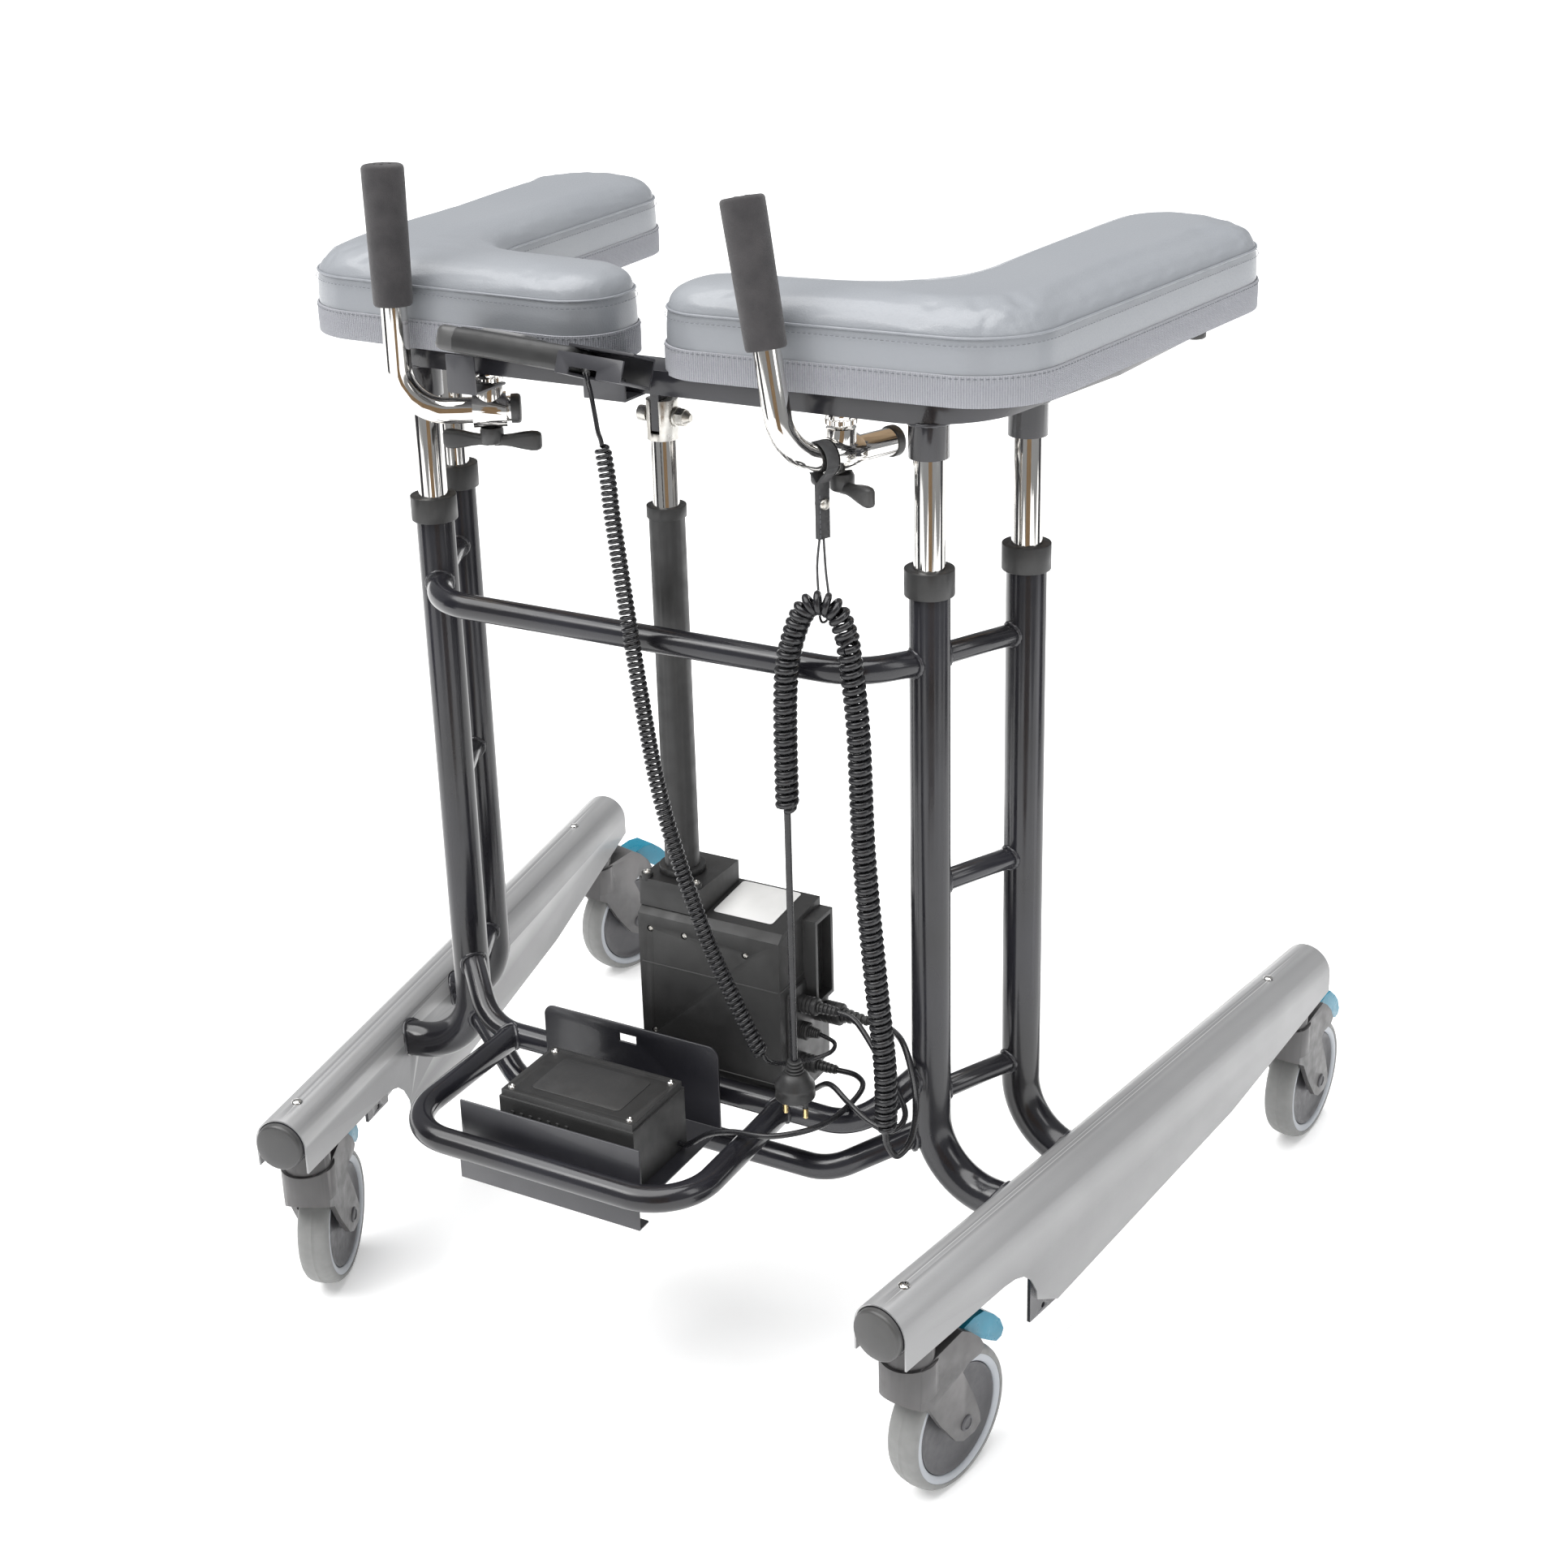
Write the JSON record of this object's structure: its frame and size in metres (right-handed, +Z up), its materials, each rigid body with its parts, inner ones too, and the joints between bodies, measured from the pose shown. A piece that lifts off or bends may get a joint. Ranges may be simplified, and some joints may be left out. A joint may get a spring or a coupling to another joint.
{
  "type": "forearm-support walker",
  "caption": "Electric height-adjustable forearm-support walker: splayed caster legs, lift columns, U-shaped padded armrest, angled hand grips, handset and curly cords.",
  "frame": {"origin": "on the floor under the middle of the walker's bounding box, cords left out", "axes": "+Z up, towards the cushions; +X sideways, from the handset's side to the hung cord's side; +Y rearwards, where the user stands between the legs"},
  "size_m": [0.8842, 0.7893, 1.0289],
  "materials": {
    "black_paint": "gloss powder coat with weld beads",
    "grey_paint": "satin silver-grey lacquer",
    "dark_plastic": "fine grained moulding",
    "rocker_plastic": "matt",
    "cord_rubber": "satin cable jacket",
    "strap_fabric": "woven",
    "caster_plastic": "satin moulding",
    "pedal_plastic": "satin moulding",
    "wheel_tyre": "matt with a fine mould line",
    "grip_rubber": "foam grip",
    "chrome": "polished",
    "steel": "zinc plated",
    "cells": "shrink sleeve",
    "vinyl": "grained upholstery vinyl",
    "board": "plywood"
  },
  "bodies": {
    "frame": {"front_columns": "black_paint", "rear_columns": "black_paint", "side_rungs": "black_paint", "upper_crossbar": "black_paint", "lower_crossbars": "black_paint", "tray_hoop": "black_paint", "leg_tubes": "black_paint", "leg_covers": "grey_paint", "leg_end_caps": "dark_plastic", "cover_rivets": "steel", "column_collars": "dark_plastic", "battery_tray": "black_paint", "battery_box": "dark_plastic", "battery_cells": "cells", "actuator_housing": "dark_plastic", "actuator_tube": "dark_plastic", "actuator_motor": "steel", "spindle": "steel", "cord_plugs": "cord_rubber", "caster_stems": "steel", "handset_cord": "cord_rubber", "mains_cord_feed": "cord_rubber", "battery_lead": "cord_rubber", "motor_lead": "cord_rubber"},
    "armrest": {"lift_tubes": "chrome", "armrest_bar": "black_paint", "cushion_boards": "board", "cushion_left": "vinyl", "cushion_right": "vinyl", "actuator_rod": "chrome", "rod_fork": "steel", "fork_bolt": "steel", "clamp_studs": "chrome", "handset_body": "dark_plastic", "handset_holder": "black_paint", "mains_cord_hung": "cord_rubber", "mains_plug": "cord_rubber", "hanging_string": "strap_fabric"},
    "rocker": {"handset_rocker": "rocker_plastic"},
    "clamp_l": {"clamp_left": "chrome"},
    "clamp_r": {"clamp_right": "chrome", "cord_strap": "strap_fabric"},
    "handle_l": {"handle_left": "chrome", "grip_left": "grip_rubber"},
    "handle_r": {"handle_right": "chrome", "grip_right": "grip_rubber"},
    "knob_l": {"knob_left": "dark_plastic"},
    "knob_r": {"knob_right": "dark_plastic"},
    "caster_front_left": {"fork_front_left": "caster_plastic"},
    "wheel_body_front_left": {"wheel_front_left": "wheel_tyre"},
    "pedal_body_front_left": {"pedal_front_left": "pedal_plastic"},
    "caster_front_right": {"fork_front_right": "caster_plastic"},
    "wheel_body_front_right": {"wheel_front_right": "wheel_tyre"},
    "pedal_body_front_right": {"pedal_front_right": "pedal_plastic"},
    "caster_rear_left": {"fork_rear_left": "caster_plastic"},
    "wheel_body_rear_left": {"wheel_rear_left": "wheel_tyre"},
    "pedal_body_rear_left": {"pedal_rear_left": "pedal_plastic"},
    "caster_rear_right": {"fork_rear_right": "caster_plastic"},
    "wheel_body_rear_right": {"wheel_rear_right": "wheel_tyre"},
    "pedal_body_rear_right": {"pedal_rear_right": "pedal_plastic"}
  },
  "joints": [
    {"name": "armrest_lift", "type": "slide", "parent": "frame", "child": "armrest", "axis": [0, 0, 1], "range_m": [-0.05, 0.3], "deforming": ["handset_cord", "mains_cord_feed"]},
    {"name": "left_clamp_swivel", "type": "hinge", "parent": "armrest", "child": "clamp_l", "pos_m": [-0.166, -0.176, 0.8235], "axis": [0, 0, 1], "range_deg": [0, 25]},
    {"name": "left_handle_tilt", "type": "hinge", "parent": "clamp_l", "child": "handle_l", "pos_m": [-0.166, -0.176, 0.8235], "axis": [0.8387, 0.5446, 0], "range_deg": [0, 20]},
    {"name": "left_knob_turn", "type": "hinge", "parent": "clamp_l", "child": "knob_l", "pos_m": [-0.166, -0.176, 0.8235], "axis": [0, 0, 1], "continuous": true},
    {"name": "right_clamp_swivel", "type": "hinge", "parent": "armrest", "child": "clamp_r", "pos_m": [0.166, -0.176, 0.8235], "axis": [0, 0, 1], "range_deg": [0, 25], "deforming": ["hanging_string"]},
    {"name": "right_handle_tilt", "type": "hinge", "parent": "clamp_r", "child": "handle_r", "pos_m": [0.166, -0.176, 0.8235], "axis": [0.3681, 0.9298, 0], "range_deg": [0, 40]},
    {"name": "right_knob_turn", "type": "hinge", "parent": "clamp_r", "child": "knob_r", "pos_m": [0.166, -0.176, 0.8235], "axis": [0, 0, 1], "range_deg": [-40, 55]},
    {"name": "handset_rocker_tilt", "type": "hinge", "parent": "armrest", "child": "rocker", "pos_m": [-0.1076, -0.22326, 0.89893], "axis": [-0.0179, 0.9397, -0.3416], "range_deg": [-2, 2], "stiffness_Nm_per_rad": 0.5},
    {"name": "front_left_swivel", "type": "hinge", "parent": "frame", "child": "caster_front_left", "pos_m": [-0.30231, -0.34701, 0.15], "axis": [0, 0, 1], "continuous": true},
    {"name": "front_left_wheel", "type": "hinge", "parent": "caster_front_left", "child": "wheel_body_front_left", "pos_m": [-0.32098, -0.30279, 0.0625], "axis": [0.9212, 0.3891, 0], "continuous": true},
    {"name": "front_left_brake", "type": "hinge", "parent": "caster_front_left", "child": "pedal_body_front_left", "pos_m": [-0.32643, -0.2899, 0.136], "axis": [0.9212, 0.3891, 0], "range_deg": [-5, 0]},
    {"name": "front_right_swivel", "type": "hinge", "parent": "frame", "child": "caster_front_right", "pos_m": [0.30231, -0.34701, 0.15], "axis": [0, 0, 1], "continuous": true},
    {"name": "front_right_wheel", "type": "hinge", "parent": "caster_front_right", "child": "wheel_body_front_right", "pos_m": [0.31253, -0.30011, 0.0625], "axis": [0.977, -0.213, 0], "continuous": true},
    {"name": "front_right_brake", "type": "hinge", "parent": "caster_front_right", "child": "pedal_body_front_right", "pos_m": [0.31551, -0.28643, 0.136], "axis": [0.977, -0.213, 0], "range_deg": [-5, 0]},
    {"name": "rear_left_swivel", "type": "hinge", "parent": "frame", "child": "caster_rear_left", "pos_m": [-0.4108, 0.28504, 0.15], "axis": [0, 0, 1], "continuous": true},
    {"name": "rear_left_wheel", "type": "hinge", "parent": "caster_rear_left", "child": "wheel_body_rear_left", "pos_m": [-0.39919, 0.33162, 0.0625], "axis": [0.9703, -0.2419, 0], "continuous": true},
    {"name": "rear_left_brake", "type": "hinge", "parent": "caster_rear_left", "child": "pedal_body_rear_left", "pos_m": [-0.3958, 0.3452, 0.136], "axis": [0.9703, -0.2419, 0], "range_deg": [-5, 0]},
    {"name": "rear_right_swivel", "type": "hinge", "parent": "frame", "child": "caster_rear_right", "pos_m": [0.4108, 0.28504, 0.15], "axis": [0, 0, 1], "continuous": true},
    {"name": "rear_right_wheel", "type": "hinge", "parent": "caster_rear_right", "child": "wheel_body_rear_right", "pos_m": [0.41607, 0.33275, 0.0625], "axis": [0.994, -0.1097, 0], "continuous": true},
    {"name": "rear_right_brake", "type": "hinge", "parent": "caster_rear_right", "child": "pedal_body_rear_right", "pos_m": [0.4176, 0.34667, 0.136], "axis": [0.994, -0.1097, 0], "range_deg": [-5, 0]}
  ]
}
